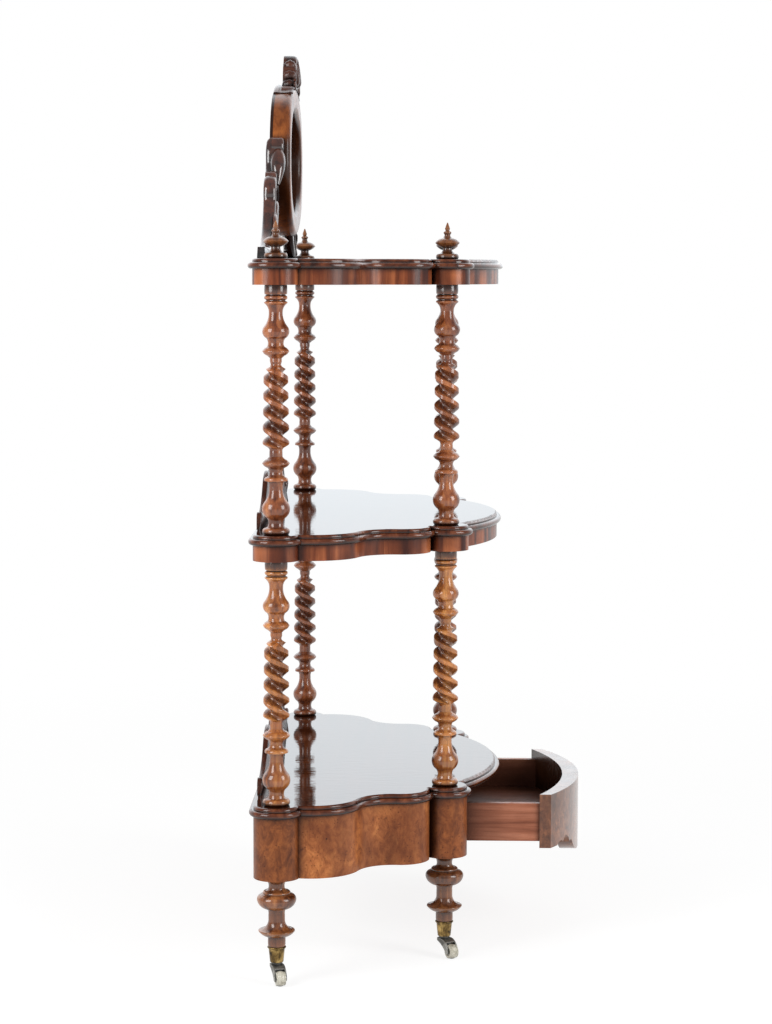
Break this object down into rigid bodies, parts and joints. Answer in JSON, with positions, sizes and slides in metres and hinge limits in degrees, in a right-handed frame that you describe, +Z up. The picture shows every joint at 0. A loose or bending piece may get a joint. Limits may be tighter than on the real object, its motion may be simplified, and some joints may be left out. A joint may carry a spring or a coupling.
{
  "type": "etagere",
  "caption": "Serpentine walnut shelf stand on barley-twist columns, with a bow-fronted drawer below, an oval mirror on top and castors under its turned feet.",
  "frame": {"origin": "on the floor, under the middle of the box around the piece with its drawer open as at rest", "axes": "+X to the right along the width, -Y to the front where the drawer opens, +Z up"},
  "size_m": [0.916, 0.545, 1.5011],
  "materials": {
    "polished_walnut": "french polished",
    "walnut_veneer": "french polished",
    "burr_walnut": "french polished",
    "turned_walnut": "french polished",
    "carved_walnut": "french polished",
    "drawer_lining": "satin",
    "mirror_glass": "silvered",
    "brass": "aged",
    "dark_iron": "aged",
    "ceramic": "glazed"
  },
  "bodies": {
    "carcass": {"bottom_board": "polished_walnut", "middle_board": "polished_walnut", "top_board": "polished_walnut", "middle_frieze": "walnut_veneer", "top_frieze": "walnut_veneer", "corner_post_rear_left": "burr_walnut", "lower_column_rear_left": "turned_walnut", "upper_column_rear_left": "turned_walnut", "finial_rear_left": "turned_walnut", "foot_rear_left": "turned_walnut", "castor_socket_rear_left": "brass", "corner_post_rear_right": "burr_walnut", "lower_column_rear_right": "turned_walnut", "upper_column_rear_right": "turned_walnut", "finial_rear_right": "turned_walnut", "foot_rear_right": "turned_walnut", "castor_socket_rear_right": "brass", "corner_post_front_left": "burr_walnut", "lower_column_front_left": "turned_walnut", "upper_column_front_left": "turned_walnut", "finial_front_left": "turned_walnut", "foot_front_left": "turned_walnut", "castor_socket_front_left": "brass", "corner_post_front_right": "burr_walnut", "lower_column_front_right": "turned_walnut", "upper_column_front_right": "turned_walnut", "finial_front_right": "turned_walnut", "foot_front_right": "turned_walnut", "castor_socket_front_right": "brass", "apron_left": "burr_walnut", "apron_right": "burr_walnut", "apron_back": "burr_walnut", "drawer_runners": "drawer_lining", "drawer_kickers": "drawer_lining", "mirror_frame": "carved_walnut", "mirror_crest": "carved_walnut", "mirror_bracket_left": "carved_walnut", "mirror_bracket_right": "carved_walnut", "mirror_backboard": "drawer_lining", "mirror_glass": "mirror_glass", "bottom_gallery": "carved_walnut", "middle_gallery": "carved_walnut"},
    "drawer": {"drawer_front": "walnut_veneer", "drawer_left_side": "drawer_lining", "drawer_right_side": "drawer_lining", "drawer_back": "drawer_lining", "drawer_bottom": "drawer_lining"},
    "castor_swivel_rear_left": {"castor_fork_rear_left": "dark_iron", "castor_axle_rear_left": "dark_iron"},
    "castor_roller_rear_left": {"castor_wheel_rear_left": "ceramic"},
    "castor_swivel_rear_right": {"castor_fork_rear_right": "dark_iron", "castor_axle_rear_right": "dark_iron"},
    "castor_roller_rear_right": {"castor_wheel_rear_right": "ceramic"},
    "castor_swivel_front_left": {"castor_fork_front_left": "dark_iron", "castor_axle_front_left": "dark_iron"},
    "castor_roller_front_left": {"castor_wheel_front_left": "ceramic"},
    "castor_swivel_front_right": {"castor_fork_front_right": "dark_iron", "castor_axle_front_right": "dark_iron"},
    "castor_roller_front_right": {"castor_wheel_front_right": "ceramic"}
  },
  "joints": [
    {"name": "drawer_slide", "type": "slide", "parent": "carcass", "child": "drawer", "axis": [0, -1, 0], "range_m": [-0.145, 0.055]},
    {"name": "swivel_rear_left", "type": "hinge", "parent": "carcass", "child": "castor_swivel_rear_left", "pos_m": [-0.414, 0.2285, 0.0345], "axis": [0, 0, 1], "continuous": true},
    {"name": "roll_rear_left", "type": "hinge", "parent": "castor_swivel_rear_left", "child": "castor_roller_rear_left", "pos_m": [-0.43695, 0.22148, 0.01225], "axis": [0.2924, -0.9563, 0], "continuous": true},
    {"name": "swivel_rear_right", "type": "hinge", "parent": "carcass", "child": "castor_swivel_rear_right", "pos_m": [0.414, 0.2285, 0.0345], "axis": [0, 0, 1], "continuous": true},
    {"name": "roll_rear_right", "type": "hinge", "parent": "castor_swivel_rear_right", "child": "castor_roller_rear_right", "pos_m": [0.39225, 0.21836, 0.01225], "axis": [0.4226, -0.9063, 0], "continuous": true},
    {"name": "swivel_front_left", "type": "hinge", "parent": "carcass", "child": "castor_swivel_front_left", "pos_m": [-0.243, -0.0395, 0.0345], "axis": [0, 0, 1], "continuous": true},
    {"name": "roll_front_left", "type": "hinge", "parent": "castor_swivel_front_left", "child": "castor_roller_front_left", "pos_m": [-0.26357, -0.05186, 0.01225], "axis": [0.515, -0.8572, 0], "continuous": true},
    {"name": "swivel_front_right", "type": "hinge", "parent": "carcass", "child": "castor_swivel_front_right", "pos_m": [0.243, -0.0395, 0.0345], "axis": [0, 0, 1], "continuous": true},
    {"name": "roll_front_right", "type": "hinge", "parent": "castor_swivel_front_right", "child": "castor_roller_front_right", "pos_m": [0.26138, -0.05493, 0.01225], "axis": [0.6428, 0.766, 0], "continuous": true}
  ]
}
